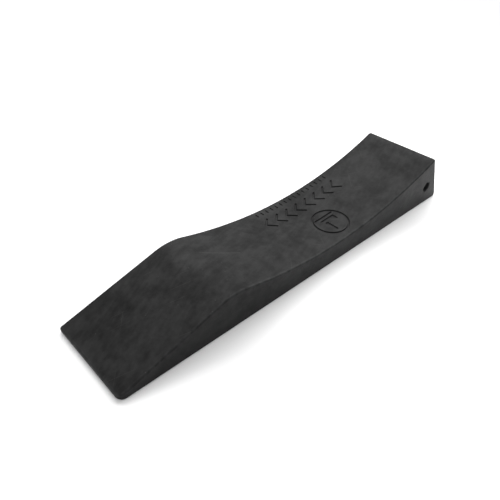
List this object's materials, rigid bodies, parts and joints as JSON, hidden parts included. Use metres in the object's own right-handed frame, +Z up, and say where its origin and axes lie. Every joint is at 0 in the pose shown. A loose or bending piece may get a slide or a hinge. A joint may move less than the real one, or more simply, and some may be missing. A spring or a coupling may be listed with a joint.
{
  "type": "door stop wedge",
  "caption": "Long solid rubber door-stop wedge with a short ramp, a rounded hump, a dished top, a thick leaning heel and a cross hole to hang it by.",
  "frame": {"origin": "middle of the flat base, on the floor", "axes": "+X runs from the thin toe to the thick heel, +Z is up, and Y lies across the width"},
  "size_m": [0.25, 0.051, 0.0328],
  "materials": {
    "rubber": "matte"
  },
  "bodies": {
    "root": {"wedge_body": "rubber"}
  },
  "joints": []
}
